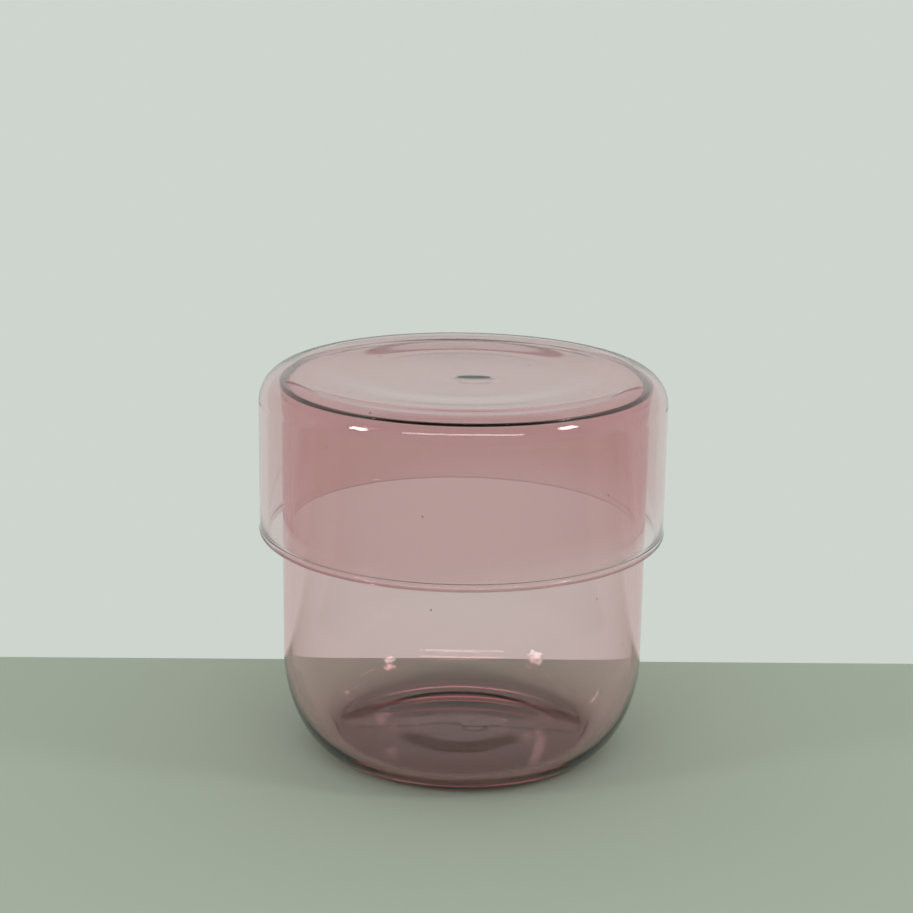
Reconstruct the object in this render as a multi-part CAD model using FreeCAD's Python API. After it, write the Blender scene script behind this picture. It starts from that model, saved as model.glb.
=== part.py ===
"""A clear glass canister with a drop-over glass lid, for dry goods, tea or biscuits.

Two separate pieces of blown borosilicate glass: a straight-walled jar with a softly
rounded heel, and a cap whose skirt drops over the jar's mouth while its hollow shoulder rests on
the jar's rim. Both are turned outlines, revolved about an upright axis. Each has the
shallow mark where its closed end was melted shut.

Millimetres, +Z up. The origin is the middle of the jar's foot, on the table.
"""
import FreeCAD
import Part

import math
import os

# ---- jar -----------------------------------------------------------------------------
JAR_RADIUS = 45.0          # outside of the straight wall
JAR_HEIGHT = 93.4          # foot to the top of the rim
JAR_WALL = 2.1             # straight wall
JAR_FLOOR = 2.6            # thickness of the floor over the foot ring
JAR_HEEL_WIDTH = 14.0      # how far the rounded heel comes in from the wall
JAR_HEEL_HEIGHT = 25.0     # how far up the wall it starts
JAR_FOOT_WIDTH = 3.0       # flat ring that the jar stands on
JAR_PUSH_UP = 1.1          # rise of the floor's middle over the foot ring
JAR_RIM_SWELL = 0.2        # how far the fire-polished rim stands out on each side

# ---- lid -----------------------------------------------------------------------------
LID_CLEARANCE = 3.0        # air between the jar's wall and the inside of the skirt
LID_WALL = 2.0             # skirt
LID_TOP = 2.2              # thickness of the top at its highest ring
LID_SKIRT = 41.0           # from that ring down to the lower rim
LID_SHOULDER = 7.8         # outside radius between top and skirt
LID_HOLLOW_SHOULDER = 5.8  # inside radius between top and skirt
LID_DISH = 1.6             # how far the middle of the top sinks below its highest ring
LID_UNDER_DISH = 1.4       # how far the middle of the underside hangs below its highest ring
LID_RIM_SWELL = 0.2        # how far the fire-polished lower rim stands out on each side
LID_SITS_OFF = 0.6         # the loose lid rests this far to one side of the jar's axis

# ---- both ----------------------------------------------------------------------------
SEAT_CLEARANCE = 0.2       # air between the jar's rim and the underside of the lid
NECK_FILLET = 4.0          # hollow round where a wall swells into its rim
MARK_RADIUS = 6.0          # the round mark where the flame closed the glass
MARK_DEPTH = 0.2
LID_MARK_OFF = (2.5, -6.0)  # the lid's mark from its axis, X and Y
JAR_MARK_OFF = (3.5, 0.0)   # the jar's mark from its axis


def at(radius, height):
    """A point of a turned outline."""
    return FreeCAD.Vector(radius, 0, height)


def line(start, end):
    return Part.makeLine(start, end)


def arc(start, middle, end):
    return Part.Arc(start, middle, end).toShape()


def round_about(centre, radius, first_angle, last_angle):
    """An arc about a centre, from one angle to another, counted up from straight outwards."""
    def point(angle):
        return centre + at(radius * math.cos(angle), radius * math.sin(angle))
    return arc(point(first_angle), point((first_angle + last_angle) / 2), point(last_angle))


def heel(centre, width, height):
    """The quarter of an upright ellipse from straight below its centre to straight outwards."""
    below, side = centre + at(0, -height), centre + at(width, 0)
    ellipse = Part.Ellipse(below, side, centre)
    start, end = ellipse.parameter(below), ellipse.parameter(side)
    return ellipse.toShape(start, end)


def low_dome(middle_height, edge_radius, edge_height):
    """The shallow round over a ring, level where it crosses the axis."""
    rise = middle_height - edge_height
    radius = (edge_radius ** 2 + rise ** 2) / (2 * rise)
    half = math.asin(edge_radius / radius) / 2
    halfway = at(radius * math.sin(half), middle_height - radius * (1 - math.cos(half)))
    return arc(at(0, middle_height), halfway, at(edge_radius, edge_height))


def rim(middle_radius, tip_height, wall, swell, way):
    """The round end of a wall, swollen on both sides; way is 1 for upwards, -1 for downwards.

    Gives where the outside of the wall ends, the rim's edges, and the same inside.
    """
    bead_radius = wall / 2 + swell
    bead = at(middle_radius, tip_height - way * bead_radius)
    across = wall / 2 + NECK_FILLET
    along = math.sqrt((bead_radius + NECK_FILLET) ** 2 - across ** 2)
    lean = math.atan2(along, across)

    def point(side, centre, radius, angle):
        return centre + at(side * radius * math.cos(angle), way * radius * math.sin(angle))

    def neck(side):
        fillet = bead + at(side * across, -way * along)
        return [point(-side, fillet, NECK_FILLET, lean * part) for part in (0, 0.5, 1)]

    outside, inside = neck(1), neck(-1)
    return outside[0], [arc(*outside), arc(outside[2], at(middle_radius, tip_height), inside[2]),
                        arc(*inside)], inside[0]


def dish_radius(centre_radius, radius, depth):
    """Radius of the wide round that sinks by a depth inside a shoulder and joins it smoothly."""
    return (centre_radius ** 2 + depth ** 2) / (2 * depth) - radius


def shoulder_and_dish(centre, radius, depth):
    """A closed end from straight outwards, over its highest ring and down to the axis."""
    dish = dish_radius(centre.x, radius, depth)
    dish_middle = at(0, centre.z + radius - depth + dish)
    lean = math.atan2(centre.x, dish_middle.z - centre.z)
    down = -math.pi / 2
    return [round_about(centre, radius, 0, lean - down),
            round_about(dish_middle, dish, lean + down, down)]


def turned(edges):
    """The solid that the closed outline of these edges sweeps about the upright axis."""
    outline = Part.Wire(Part.__sortEdges__(edges))
    return Part.Face(outline).revolve(FreeCAD.Vector(0, 0, 0), FreeCAD.Vector(0, 0, 1), 360)


def marked(piece, off, height):
    """The piece with the closing mark, a shallow hollow, at a height of its upper surface."""
    deepest = FreeCAD.Vector(*off, height - MARK_DEPTH)
    ball_radius = (MARK_RADIUS ** 2 + MARK_DEPTH ** 2) / (2 * MARK_DEPTH)
    ball = Part.makeSphere(ball_radius, deepest + FreeCAD.Vector(0, 0, ball_radius))
    return piece.cut(ball.common(Part.makeCylinder(MARK_RADIUS, 2 * MARK_DEPTH, deepest)))


def make_jar():
    inner_radius = JAR_RADIUS - JAR_WALL
    foot_outside = JAR_RADIUS - JAR_HEEL_WIDTH
    foot_inside = foot_outside - JAR_FOOT_WIDTH
    heel_centre = at(foot_outside, JAR_HEEL_HEIGHT)

    outside, rim_edges, inside = rim(
        JAR_RADIUS - JAR_WALL / 2, JAR_HEIGHT, JAR_WALL, JAR_RIM_SWELL, 1)
    return turned([
        low_dome(JAR_PUSH_UP, foot_inside, 0),
        line(at(foot_inside, 0), at(foot_outside, 0)),
        heel(heel_centre, JAR_HEEL_WIDTH, JAR_HEEL_HEIGHT),
        line(at(JAR_RADIUS, JAR_HEEL_HEIGHT), outside),
        *rim_edges,
        line(inside, at(inner_radius, JAR_HEEL_HEIGHT)),
        heel(heel_centre, inner_radius - foot_outside, JAR_HEEL_HEIGHT - JAR_FLOOR),
        low_dome(JAR_FLOOR + JAR_PUSH_UP, foot_outside, JAR_FLOOR),
        line(at(0, JAR_FLOOR + JAR_PUSH_UP), at(0, JAR_PUSH_UP)),
    ])


def make_lid():
    inner_radius = JAR_RADIUS + LID_CLEARANCE
    outer_radius = inner_radius + LID_WALL

    # The lid comes down until its hollow shoulder meets the round top of the jar's rim, on
    # the side that the lid is pushed away from.
    rim_round = JAR_WALL / 2 + JAR_RIM_SWELL
    rim_middle = at(JAR_RADIUS - JAR_WALL / 2, JAR_HEIGHT - rim_round)
    reach = LID_HOLLOW_SHOULDER - rim_round - SEAT_CLEARANCE
    hollow_radius = inner_radius - LID_HOLLOW_SHOULDER
    aside = rim_middle.x + LID_SITS_OFF - hollow_radius
    hollow = at(hollow_radius, rim_middle.z - math.sqrt(reach ** 2 - aside ** 2))
    under_ring = hollow.z + LID_HOLLOW_SHOULDER
    top = under_ring + LID_TOP

    shoulder = at(outer_radius - LID_SHOULDER, top - LID_SHOULDER)
    upper_middle = at(0, top - LID_DISH)
    outside, rim_edges, inside = rim(
        inner_radius + LID_WALL / 2, top - LID_SKIRT, LID_WALL, LID_RIM_SWELL, -1)
    lid = turned([
        *shoulder_and_dish(shoulder, LID_SHOULDER, LID_DISH),
        line(at(outer_radius, shoulder.z), outside),
        *rim_edges,
        line(inside, at(inner_radius, hollow.z)),
        *shoulder_and_dish(hollow, LID_HOLLOW_SHOULDER, LID_UNDER_DISH),
        line(at(0, under_ring - LID_UNDER_DISH), upper_middle),
    ])
    lid = marked(lid, LID_MARK_OFF, upper_middle.z)
    lid.translate(FreeCAD.Vector(-LID_SITS_OFF, 0, 0))
    return lid


pieces = {"jar": marked(make_jar(), JAR_MARK_OFF, JAR_FLOOR + JAR_PUSH_UP), "lid": make_lid()}

os.makedirs("parts", exist_ok=True)
for name, solid in pieces.items():
    solid.exportStep(f"parts/{name}.step")
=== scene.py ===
"""A pink-tinted glass canister under its drop-over glass lid, on a plain pale floor.

The jar and the lid are each one spun outline, cut finely enough that the glass bends
light without facets. Outlines are in millimetres, as (radius, height) pairs.
"""

import math

import bmesh
import bpy
from mathutils import Matrix, Vector


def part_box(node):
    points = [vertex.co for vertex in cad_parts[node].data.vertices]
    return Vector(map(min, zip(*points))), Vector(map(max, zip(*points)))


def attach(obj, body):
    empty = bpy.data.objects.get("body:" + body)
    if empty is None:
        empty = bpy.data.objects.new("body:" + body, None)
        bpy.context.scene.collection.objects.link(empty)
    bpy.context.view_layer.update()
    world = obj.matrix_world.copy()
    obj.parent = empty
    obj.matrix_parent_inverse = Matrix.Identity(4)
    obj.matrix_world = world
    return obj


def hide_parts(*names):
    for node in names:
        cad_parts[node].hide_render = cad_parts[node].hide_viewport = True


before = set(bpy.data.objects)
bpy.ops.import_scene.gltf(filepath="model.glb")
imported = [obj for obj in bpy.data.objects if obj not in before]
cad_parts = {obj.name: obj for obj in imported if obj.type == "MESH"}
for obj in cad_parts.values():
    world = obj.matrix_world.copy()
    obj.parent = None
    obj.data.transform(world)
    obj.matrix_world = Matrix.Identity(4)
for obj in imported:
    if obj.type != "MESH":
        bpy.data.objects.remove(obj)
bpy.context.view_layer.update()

MM = 0.001
JAR_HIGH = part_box("jar")[1] / MM
LID_LOW, LID_HIGH = (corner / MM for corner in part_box("lid"))

# ---- how finely the outlines are cut -------------------------------------------------
TURN_STEPS = 256           # facets round a spun piece
ROUND_STEP = 0.25          # longest step round a shoulder or rim
LONG_STEP = 0.6            # along a slow curve
STRAIGHT_STEP = 2.0        # along a straight wall

# ---- jar -----------------------------------------------------------------------------
JAR_WALL = 2.1
JAR_RIM_SWELL = 0.2        # how far the fire-polished rim stands out on each side
JAR_RIM_OUTER_EDGE = 0.45  # roundings of the rim's nearly flat top
JAR_RIM_INNER_EDGE = 1.0
JAR_RIM_FALL = 0.45        # how far its top falls towards the inside
JAR_RIM_BAND = 0.5         # upright stretch between each edge and the neck under it
JAR_RADIUS = JAR_HIGH.y - JAR_RIM_SWELL
JAR_FLOOR_LEVEL = 3.1      # the inside of the floor, round its edge
JAR_STEP = (8.0, 25.0, 0.45)     # the soft step down to its middle: rings, depth
JAR_HEEL_WIDTH = 14.0
JAR_HEEL_HEIGHT = 25.0
JAR_FOOT_WIDTH = 1.0
JAR_PUSH_UP = 1.1

# ---- lid -----------------------------------------------------------------------------
LID_WALL = 2.0
LID_RIM_SWELL = 0.2
LID_RADIUS = LID_HIGH.y - LID_RIM_SWELL
LID_MIDDLE = (LID_LOW.x + LID_HIGH.x) / 2
LID_TOP = 1.8              # at its highest ring
LID_SHOULDER = 7.8
LID_HOLLOW_SHOULDER = 6.0
LID_DISH = 0.7             # how far the middle of the top sinks below its highest ring
LID_UNDER_DISH = 0.3       # the same for the underside
LID_STEP = (24.0, 36.0, 0.65)    # a soft step further down: its inner and outer ring, depth

NECK_FILLET = 4.0          # hollow round where a wall swells into its rim
MARK_ACROSS = 4.5          # the shallow hollow where the flame closed the glass
LID_MARK_LONG = 8.5        # the lid's was drawn out to the sides
MARK_DEPTH = 0.15
SAME_LEVEL = 0.5           # tells the marked face from the one under it
LID_MARK_OFF = Vector((2.5, -6.0))
JAR_MARK_OFF = Vector((3.5, 0.0))

# ---- the lid's tint ------------------------------------------------------------------
LID_CLEAR_THROUGH_WALL = (0.99, 0.95, 0.955)   # what even its lowest part keeps
LID_FACE_TINT = (0.905, 0.785, 0.79)            # the rest of the tint, higher up
FADE_MIDDLE = 56.0         # height at which the tint is half gone
FADE_HALF = 8.0            # half of the height over which it goes
FADE_LEAN = 0.13           # it goes higher up on the right than on the left

# ---- glass ---------------------------------------------------------------------------
BOROSILICATE_IOR = 1.473
TINT_THROUGH_WALL = (0.95, 0.83, 0.84)
WAVE_ACROSS = 11.0         # from one wave to the next round the piece
WAVE_UP = 40.0             # the same, up and down
WAVE_HIGH = 0.014
SEED_SPACING = 17.0
SEED_SIZE = 0.45
SEED_TINT = "#8c6b68"

# ---- camera --------------------------------------------------------------------------
CAMERA_AWAY = 482.0        # in front of the jar's axis
CAMERA_HEIGHT = 204.06
CAMERA_DOWN = 15.096       # degrees
CAMERA_ASIDE = -0.249
CAMERA_ROLL = 0.846
SENSOR = 36.0
LENS = 79.71

# ---- floor, backdrop and room --------------------------------------------------------
FLOOR_REACH = 4000.0
FLOOR_BACK = 54.0          # the floor's back edge, behind the jar's axis
FLOOR_TURN = 1.4           # degrees
FLOOR_LEVEL = -0.1         # just clear of the foot
FLOOR_PAINT = "#a3ae9f"
BACKDROP = "#ced5cf"
ROOM_ABOVE = "#c6c8c4"     # behind the canister, higher up
ROOM_BEHIND = "#a09d98"    # on the camera's side
CEILING = "#46423f"
DARK_BAR = "#2a2624"       # a dark rail high on the far wall
EVEN_LIGHT = "#e8e8e6"     # what the room sheds on the floor

# Where each part of the room lies, as the parts of a unit direction: low, high, blur.
# A limit of 2 or -2 is no limit.
ABOVE_UP = (0.36, 2.0, 0.04)
BEHIND_BACK = (-2.0, -0.2, 0.2)
CEILING_UP = (0.88, 2.0, 0.05)
BAR_UP = (0.332, 0.368, 0.01)
BAR_ACROSS = (-0.3, 0.3, 0.04)
BAR_FAR = (0.2, 2.0, 0.1)

# ---- lamps ---------------------------------------------------------------------------
LAMP_AWAY = 1500.0
# name, azimuth and elevation in degrees, width, height, watts
LAMPS = (
    ("strip_lamp", 0, 40, 1700, 60, 3.4),
    ("left_lamp", -62, 26, 230, 200, 3.0),
    ("right_lamp", 68, 37, 230, 200, 3.0),
)


# ======================================================================================
# Outlines
# ======================================================================================

def stretch(point_at, length, step):
    """Points evenly spread along one stretch of an outline."""
    count = max(1, math.ceil(length / step))
    return [point_at(index / count) for index in range(count + 1)]


def line(start, end, step=STRAIGHT_STEP):
    def point_at(part):
        return start[0] + (end[0] - start[0]) * part, start[1] + (end[1] - start[1]) * part
    return stretch(point_at, math.dist(start, end), step)


def arc(centre, radius, first, last, step=ROUND_STEP):
    """Round a centre, from one angle to another, counted up from straight outwards."""
    def point_at(part):
        angle = first + (last - first) * part
        return centre[0] + radius * math.cos(angle), centre[1] + radius * math.sin(angle)
    return stretch(point_at, abs(last - first) * radius, min(step, radius / 12))


def heel(centre, width, height):
    """The quarter of an upright ellipse from straight below its centre to straight outwards."""
    def point_at(part):
        angle = math.pi / 2 * part
        return centre[0] + width * math.sin(angle), centre[1] - height * math.cos(angle)
    return stretch(point_at, width + height, LONG_STEP)


def low_dome(middle_height, edge_radius, edge_height):
    """The shallow round over a ring, level where it crosses the axis."""
    def point_at(part):
        rise = (middle_height - edge_height) * (1 - part ** 2)
        return edge_radius * part, edge_height + rise
    return stretch(point_at, edge_radius, LONG_STEP)


def round_rim(middle_radius, tip_height, wall, swell):
    """The lid's rim: the round lower end of its wall, swollen on both sides."""
    bead_radius = wall / 2 + swell
    bead = (middle_radius, tip_height + bead_radius)
    across = wall / 2 + NECK_FILLET
    along = math.sqrt((bead_radius + NECK_FILLET) ** 2 - across ** 2)
    lean = math.atan2(along, across)
    outer_fillet = (bead[0] + across, bead[1] + along)
    inner_fillet = (bead[0] - across, bead[1] + along)
    return [
        *arc(outer_fillet, NECK_FILLET, math.pi, math.pi + lean),
        *arc(bead, bead_radius, lean, -math.pi - lean)[1:],
        *arc(inner_fillet, NECK_FILLET, -lean, 0)[1:],
    ]


def flat_rim(wall_outside, wall_inside, tip_height):
    """The jar's rim: a nearly flat top that falls a little inwards, between rounded edges."""
    outside, inside = wall_outside + JAR_RIM_SWELL, wall_inside - JAR_RIM_SWELL
    slope = math.atan2(JAR_RIM_FALL, outside - inside)
    outer = (outside - JAR_RIM_OUTER_EDGE, tip_height - JAR_RIM_OUTER_EDGE)
    inner = (inside + JAR_RIM_INNER_EDGE, tip_height - JAR_RIM_INNER_EDGE - JAR_RIM_FALL)
    lean = math.acos(1 - JAR_RIM_SWELL / NECK_FILLET / 2)
    drop = 2 * NECK_FILLET * math.sin(lean)
    outer_neck = (outside - NECK_FILLET, outer[1] - JAR_RIM_BAND)
    inner_neck = (inside + NECK_FILLET, inner[1] - JAR_RIM_BAND)
    return joined(
        arc((wall_outside + NECK_FILLET, outer_neck[1] - drop), NECK_FILLET,
            math.pi, math.pi - lean),
        arc(outer_neck, NECK_FILLET, -lean, 0),
        arc(outer, JAR_RIM_OUTER_EDGE, 0, math.pi / 2 + slope),
        arc(inner, JAR_RIM_INNER_EDGE, math.pi / 2 + slope, math.pi),
        arc(inner_neck, NECK_FILLET, math.pi, math.pi + lean),
        arc((wall_inside - NECK_FILLET, inner_neck[1] - drop), NECK_FILLET, lean, 0),
    )


def shoulder_and_dish(centre, radius, depth):
    """A closed end from straight outwards, over its highest ring and down to the axis."""
    dish = (centre[0] ** 2 + depth ** 2) / (2 * depth) - radius
    dish_middle = (0, centre[1] + radius - depth + dish)
    lean = math.atan2(centre[0], dish_middle[1] - centre[1])
    shoulder = arc(centre, radius, 0, math.pi / 2 + lean)
    return [*shoulder, *arc(dish_middle, dish, lean - math.pi / 2, -math.pi / 2, LONG_STEP)[1:]]


def stepped_down(outline, inner, outer, depth):
    """The outline with everything inside a ring let down by a depth, over a soft step."""
    def lowered(radius):
        part = min(max((radius - inner) / (outer - inner), 0), 1)
        return depth * (1 - part * part * (3 - 2 * part))
    return [(radius, height - lowered(radius)) for radius, height in outline]


def joined(*stretches):
    """One outline through all the stretches, with a straight wall wherever they stand apart."""
    outline = list(stretches[0])
    for points in stretches[1:]:
        if math.dist(outline[-1], points[0]) > 0.001:
            outline += line(outline[-1], points[0])[1:]
        outline += points[1:]
    return outline


def jar_outline():
    inner_radius = JAR_RADIUS - JAR_WALL
    foot_outside = JAR_RADIUS - JAR_HEEL_WIDTH
    foot_inside = foot_outside - JAR_FOOT_WIDTH
    heel_centre = (foot_outside, JAR_HEEL_HEIGHT)
    inner_heel = heel(heel_centre, inner_radius - foot_outside, JAR_HEEL_HEIGHT - JAR_FLOOR_LEVEL)
    return joined(
        low_dome(JAR_PUSH_UP, foot_inside, 0),
        heel(heel_centre, JAR_HEEL_WIDTH, JAR_HEEL_HEIGHT),
        flat_rim(JAR_RADIUS, inner_radius, JAR_HIGH.z),
        inner_heel[::-1],
        stepped_down(line((foot_outside, JAR_FLOOR_LEVEL), (0, JAR_FLOOR_LEVEL), LONG_STEP),
                     *JAR_STEP),
    )


def lid_outline():
    inner_radius = LID_RADIUS - LID_WALL
    shoulder = (LID_RADIUS - LID_SHOULDER, LID_HIGH.z - LID_SHOULDER)
    hollow = (inner_radius - LID_HOLLOW_SHOULDER, LID_HIGH.z - LID_TOP - LID_HOLLOW_SHOULDER)
    return joined(
        stepped_down(shoulder_and_dish(shoulder, LID_SHOULDER, LID_DISH), *LID_STEP)[::-1],
        round_rim(inner_radius + LID_WALL / 2, LID_LOW.z, LID_WALL, LID_RIM_SWELL),
        stepped_down(shoulder_and_dish(hollow, LID_HOLLOW_SHOULDER, LID_UNDER_DISH), *LID_STEP),
    )


# ======================================================================================
# Pieces
# ======================================================================================

def spun(outline):
    """The closed skin that an outline, from axis to axis, sweeps about the upright axis."""
    skin = bmesh.new()
    points = [skin.verts.new((radius, 0, height)) for radius, height in outline]
    edges = [skin.edges.new(pair) for pair in zip(points, points[1:])]
    bmesh.ops.spin(skin, geom=points + edges, cent=(0, 0, 0), axis=(0, 0, 1), dvec=(0, 0, 0),
                   angle=math.tau, steps=TURN_STEPS, use_merge=True)
    bmesh.ops.remove_doubles(skin, verts=skin.verts, dist=0.001)
    bmesh.ops.recalc_face_normals(skin, faces=skin.faces)
    return skin


def press_mark(skin, off, height, long):
    """A shallow hollow in a level middle, at that height."""
    for point in skin.verts:
        aside = point.co.xy - off
        away = math.hypot(aside.x / long, aside.y / MARK_ACROSS)
        if away < 1 and abs(point.co.z - height) < SAME_LEVEL:
            point.co.z -= MARK_DEPTH * (1 + math.cos(math.pi * away)) / 2


def finish_piece(name, skin, aside, node, material):
    """Sets a spun skin in its place, smooth shaded, where it stands for a node."""
    bmesh.ops.translate(skin, verts=skin.verts, vec=(aside, 0, 0))
    bmesh.ops.scale(skin, verts=skin.verts, vec=(MM, MM, MM))
    for face in skin.faces:
        face.smooth = True
    mesh = bpy.data.meshes.new(name)
    skin.to_mesh(mesh)
    skin.free()
    mesh.materials.append(material)
    piece = bpy.data.objects.new(name, mesh)
    bpy.context.scene.collection.objects.link(piece)
    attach(piece, "root")
    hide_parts(node)


# ======================================================================================
# Materials
# ======================================================================================

def linear(hex_colour):
    """An sRGB hex colour as linear red, green, blue and a full alpha."""
    shares = [int(hex_colour[place:place + 2], 16) / 255 for place in (1, 3, 5)]
    return [share / 12.92 if share <= 0.04045 else ((share + 0.055) / 1.055) ** 2.4
            for share in shares] + [1.0]


def add(tree, kind, settings=None, **inputs):
    """Adds a node; settings are its own properties, inputs are values or sockets to link."""
    node = tree.nodes.new(kind)
    for name, value in (settings or {}).items():
        setattr(node, name, value)
    for name, value in inputs.items():
        socket = node.inputs[int(name[1:])] if name[0] == "i" and name[1:].isdigit() \
            else node.inputs[name.replace("_", " ")]
        if isinstance(value, bpy.types.NodeSocket):
            tree.links.new(value, socket)
        else:
            socket.default_value = value
    return node


def new_material(name):
    material = bpy.data.materials.new(name)
    material.use_nodes = True
    material.node_tree.nodes.clear()
    return material, material.node_tree


def absorbed(tree, through_wall, wall):
    """The volume that lets through that share of red, green and blue over one wall."""
    loss = [-math.log(share) / (wall * MM) for share in through_wall]
    return add(tree, "ShaderNodeVolumeAbsorption", Density=max(loss),
               Color=[1 - part / max(loss) for part in loss] + [1.0])


# Blown glass is never quite even: slow upright waves, about a centimetre apart and a
# hundredth of a millimetre high, and here and there a seed, a trapped speck. The waves bend
# the light a little and the seeds show as small dark dots. The seeds are drawn somewhat
# larger than most real ones, so that they show at all.
def clear_glass(tree, place, tint, inside):
    """Polished borosilicate: no roughness, a tint at each face and one inside the glass."""
    drawn = add(tree, "ShaderNodeMapping", Vector=place, Scale=(
        1 / (WAVE_ACROSS * MM), 1 / (WAVE_ACROSS * MM), 1 / (WAVE_UP * MM)))
    wave = add(tree, "ShaderNodeTexNoise", Vector=drawn.outputs[0], Scale=1.0, Detail=1.0)
    uneven = add(tree, "ShaderNodeBump", Strength=1.0, Distance=WAVE_HIGH * MM,
                 Height=wave.outputs[0])
    cell = add(tree, "ShaderNodeTexVoronoi", Vector=place, Scale=1 / (SEED_SPACING * MM))
    seed = add(tree, "ShaderNodeMapRange", {"interpolation_type": "SMOOTHSTEP"},
               Value=cell.outputs["Distance"], From_Min=SEED_SIZE / SEED_SPACING / 2,
               From_Max=SEED_SIZE / SEED_SPACING, To_Min=1.0, To_Max=0.0)
    seeded = add(tree, "ShaderNodeMix", {"data_type": "RGBA"}, i0=seed.outputs[0],
                 i6=tint, i7=linear(SEED_TINT))
    surface = add(tree, "ShaderNodeBsdfPrincipled", Base_Color=seeded.outputs[2], Roughness=0.0,
                  IOR=BOROSILICATE_IOR, Transmission_Weight=1.0, Normal=uneven.outputs[0])
    add(tree, "ShaderNodeOutputMaterial", Surface=surface.outputs[0], Volume=inside.outputs[0])


def blown_jar_glass():
    """Borosilicate blown in a mould: clear through, pink from its thickness at the edges."""
    material, tree = new_material("blown_jar_glass")
    place = add(tree, "ShaderNodeTexCoord")
    clear_glass(tree, place.outputs["Object"], linear("#ffffff"),
                absorbed(tree, TINT_THROUGH_WALL, JAR_WALL))
    return material


def blown_lid_glass():
    """The same glass, its tint fading to nearly clear towards the skirt's lower end."""
    material, tree = new_material("blown_lid_glass")
    place = add(tree, "ShaderNodeTexCoord")
    part = add(tree, "ShaderNodeSeparateXYZ", Vector=place.outputs["Object"])
    fade_height = add(tree, "ShaderNodeMath", {"operation": "MULTIPLY_ADD"},
                      i0=part.outputs["X"], i1=FADE_LEAN, i2=FADE_MIDDLE * MM)
    above = add(tree, "ShaderNodeMath", {"operation": "SUBTRACT"},
                i0=part.outputs["Z"], i1=fade_height.outputs[0])
    full = add(tree, "ShaderNodeMapRange", {"interpolation_type": "SMOOTHSTEP"},
               Value=above.outputs[0], From_Min=-FADE_HALF * MM, From_Max=FADE_HALF * MM)
    tint = add(tree, "ShaderNodeMix", {"data_type": "RGBA"}, i0=full.outputs[0],
               i6=linear("#ffffff"), i7=[*LID_FACE_TINT, 1.0])
    clear_glass(tree, place.outputs["Object"], tint.outputs[2],
                absorbed(tree, LID_CLEAR_THROUGH_WALL, LID_WALL))
    return material


def matt_board(name, colour):
    """Painted board: no gloss, so it shows one even tone and the object's soft shadow."""
    material, tree = new_material(name)
    surface = add(tree, "ShaderNodeBsdfPrincipled", Base_Color=linear(colour), Roughness=0.9,
                  Specular_IOR_Level=0.2)
    add(tree, "ShaderNodeOutputMaterial", Surface=surface.outputs[0])
    return material


# ======================================================================================
# Floor, backdrop and light
# ======================================================================================

def lay_board(name, low, high, material):
    """A level board between two corners, turned a little as the floor is."""
    skin = bmesh.new()
    bmesh.ops.create_grid(skin, x_segments=1, y_segments=1, size=0.5)
    size = Vector((high[0] - low[0], high[1] - low[1], 1))
    middle = Vector(((high[0] + low[0]) / 2, (high[1] + low[1]) / 2, FLOOR_LEVEL))
    bmesh.ops.scale(skin, verts=skin.verts, vec=size)
    bmesh.ops.translate(skin, verts=skin.verts, vec=middle)
    turn = Matrix.Rotation(math.radians(FLOOR_TURN), 3, "Z")
    bmesh.ops.rotate(skin, verts=skin.verts, cent=(0, FLOOR_BACK, 0), matrix=turn)
    bmesh.ops.scale(skin, verts=skin.verts, vec=(MM, MM, MM))
    mesh = bpy.data.meshes.new(name)
    skin.to_mesh(mesh)
    skin.free()
    mesh.materials.append(material)
    board = bpy.data.objects.new(name, mesh)
    bpy.context.scene.collection.objects.link(board)


def backdrop_paint(colour):
    """A pale backdrop that shows its own colour, straight or through the glass."""
    material, tree = new_material("backdrop_paint")
    lit = add(tree, "ShaderNodeBsdfDiffuse", Color=linear(colour))
    shown = add(tree, "ShaderNodeEmission", Color=linear(colour), Strength=1.0)
    path = add(tree, "ShaderNodeLightPath")
    seen = add(tree, "ShaderNodeMath", {"operation": "MAXIMUM"},
               i0=path.outputs["Is Camera Ray"], i1=path.outputs["Is Glossy Ray"])
    seen = add(tree, "ShaderNodeMath", {"operation": "MAXIMUM"},
               i0=seen.outputs[0], i1=path.outputs["Is Transmission Ray"])
    mixed = add(tree, "ShaderNodeMixShader", Fac=seen.outputs[0],
                i1=lit.outputs[0], i2=shown.outputs[0])
    add(tree, "ShaderNodeOutputMaterial", Surface=mixed.outputs[0])
    return material


def between(tree, value, low, high, blur):
    """1 where a value lies between two limits, softly 0 outside them."""
    rise = add(tree, "ShaderNodeMapRange", {"interpolation_type": "SMOOTHSTEP"}, Value=value,
               From_Min=low - blur, From_Max=low + blur)
    fall = add(tree, "ShaderNodeMapRange", {"interpolation_type": "SMOOTHSTEP"}, Value=value,
               From_Min=high - blur, From_Max=high + blur, To_Min=1.0, To_Max=0.0)
    both = add(tree, "ShaderNodeMath", {"operation": "MULTIPLY"},
               i0=rise.outputs[0], i1=fall.outputs[0])
    return both.outputs[0]


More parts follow.
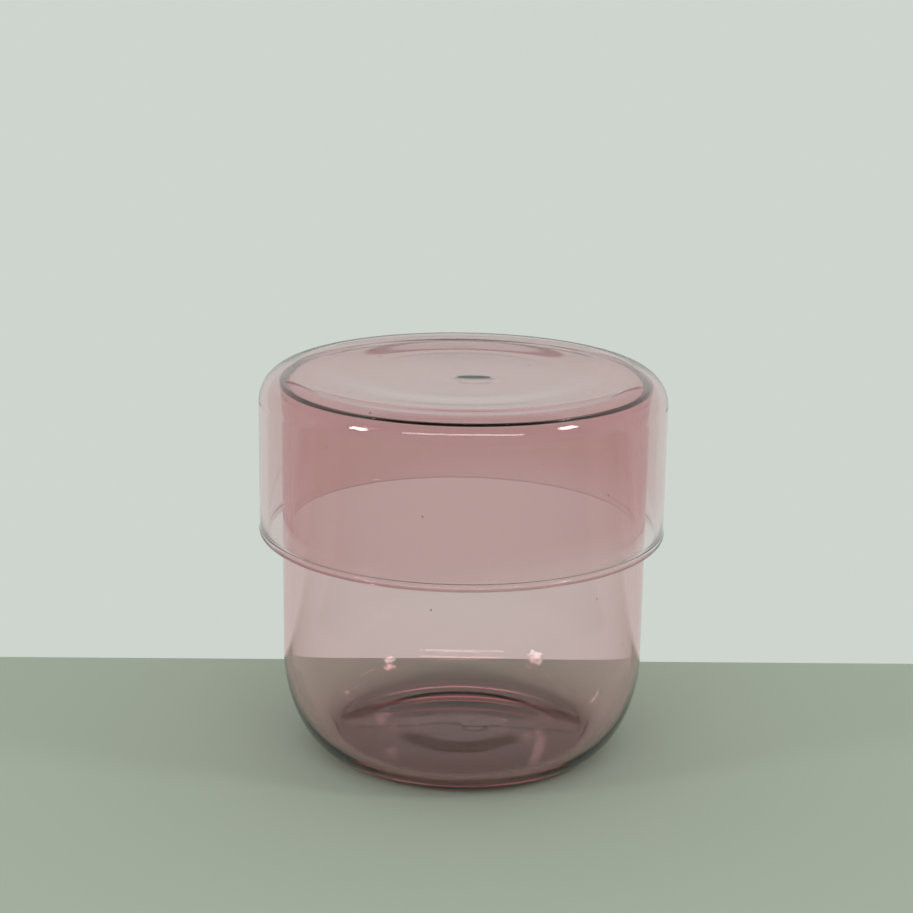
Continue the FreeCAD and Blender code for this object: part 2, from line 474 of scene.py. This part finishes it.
def light_room():
    """A pale room that the glass shows, and an even light for the floor."""
    world = bpy.data.worlds.new("pale_room")
    bpy.context.scene.world = world
    world.use_nodes = True
    tree = world.node_tree
    tree.nodes.clear()
    place = add(tree, "ShaderNodeTexCoord")
    way = add(tree, "ShaderNodeSeparateXYZ", Vector=place.outputs["Generated"])

    def over(colour, fac, laid):
        mixed = add(tree, "ShaderNodeMix", {"data_type": "RGBA"},
                    i0=fac, i6=colour, i7=linear(laid))
        return mixed.outputs[2]

    high = between(tree, way.outputs["Z"], *ABOVE_UP)
    near = between(tree, way.outputs["Y"], *BEHIND_BACK)
    overhead = between(tree, way.outputs["Z"], *CEILING_UP)
    bar = add(tree, "ShaderNodeMath", {"operation": "MULTIPLY"},
              i0=between(tree, way.outputs["Z"], *BAR_UP),
              i1=between(tree, way.outputs["X"], *BAR_ACROSS))
    bar = add(tree, "ShaderNodeMath", {"operation": "MULTIPLY"},
              i0=bar.outputs[0], i1=between(tree, way.outputs["Y"], *BAR_FAR))
    seen = over(linear(BACKDROP), high, ROOM_ABOVE)
    seen = over(seen, near, ROOM_BEHIND)
    seen = over(seen, bar.outputs[0], DARK_BAR)
    seen = over(seen, overhead, CEILING)

    path = add(tree, "ShaderNodeLightPath")
    spread = add(tree, "ShaderNodeMix", {"data_type": "RGBA"}, i0=path.outputs["Is Diffuse Ray"],
                 i6=seen, i7=linear(EVEN_LIGHT))
    air = add(tree, "ShaderNodeBackground", Color=spread.outputs[2], Strength=1.0)
    add(tree, "ShaderNodeOutputWorld", Surface=air.outputs[0])


def hang_lamp(name, azimuth, elevation, width, height, power):
    """A soft lamp that faces the canister; azimuth 0 is over the camera, + to its right."""
    lamp = bpy.data.lights.new(name, "AREA")
    lamp.shape = "RECTANGLE"
    lamp.size, lamp.size_y = width * MM, height * MM
    lamp.energy = power
    hung = bpy.data.objects.new(name, lamp)
    bpy.context.scene.collection.objects.link(hung)
    side, rise = math.radians(azimuth), math.radians(elevation)
    way = Vector((math.sin(side) * math.cos(rise), -math.cos(side) * math.cos(rise),
                  math.sin(rise)))
    place = way * LAMP_AWAY * MM + Vector((0, 0, LID_HIGH.z * MM))
    hung.matrix_world = Matrix.Translation(place) \
        @ way.to_track_quat("Z", "Y").to_matrix().to_4x4()


def set_camera():
    down, aside, roll = (math.radians(angle) for angle in (CAMERA_DOWN, CAMERA_ASIDE, CAMERA_ROLL))
    camera = bpy.data.cameras.new("camera")
    camera.sensor_width = SENSOR
    camera.lens = LENS
    seat = bpy.data.objects.new("camera", camera)
    bpy.context.scene.collection.objects.link(seat)
    level = Matrix.Rotation(-aside, 4, "Z") @ Matrix.Rotation(math.pi / 2 - down, 4, "X")
    seat.matrix_world = Matrix.Translation(Vector((0, -CAMERA_AWAY, CAMERA_HEIGHT)) * MM) \
        @ level @ Matrix.Rotation(roll, 4, "Z")
    bpy.context.scene.camera = seat


# ======================================================================================
# Scene
# ======================================================================================

jar_skin = spun(jar_outline())
press_mark(jar_skin, JAR_MARK_OFF, jar_outline()[-1][1], MARK_ACROSS)
finish_piece("spun_jar", jar_skin, 0.0, "jar", blown_jar_glass())

lid_skin = spun(lid_outline())
press_mark(lid_skin, LID_MARK_OFF, lid_outline()[0][1], LID_MARK_LONG)
finish_piece("spun_lid", lid_skin, LID_MIDDLE, "lid", blown_lid_glass())

lay_board("floor_board", (-FLOOR_REACH, -FLOOR_REACH), (FLOOR_REACH, FLOOR_BACK),
          matt_board("floor_paint", FLOOR_PAINT))
lay_board("backdrop_board", (-FLOOR_REACH, FLOOR_BACK), (FLOOR_REACH, FLOOR_REACH),
          backdrop_paint(BACKDROP))

light_room()
for lamp_facts in LAMPS:
    hang_lamp(*lamp_facts)
set_camera()

view = bpy.context.scene
view.view_settings.view_transform = "Standard"
view.cycles.max_bounces = 40
view.cycles.transmission_bounces = 40
view.cycles.glossy_bounces = 12
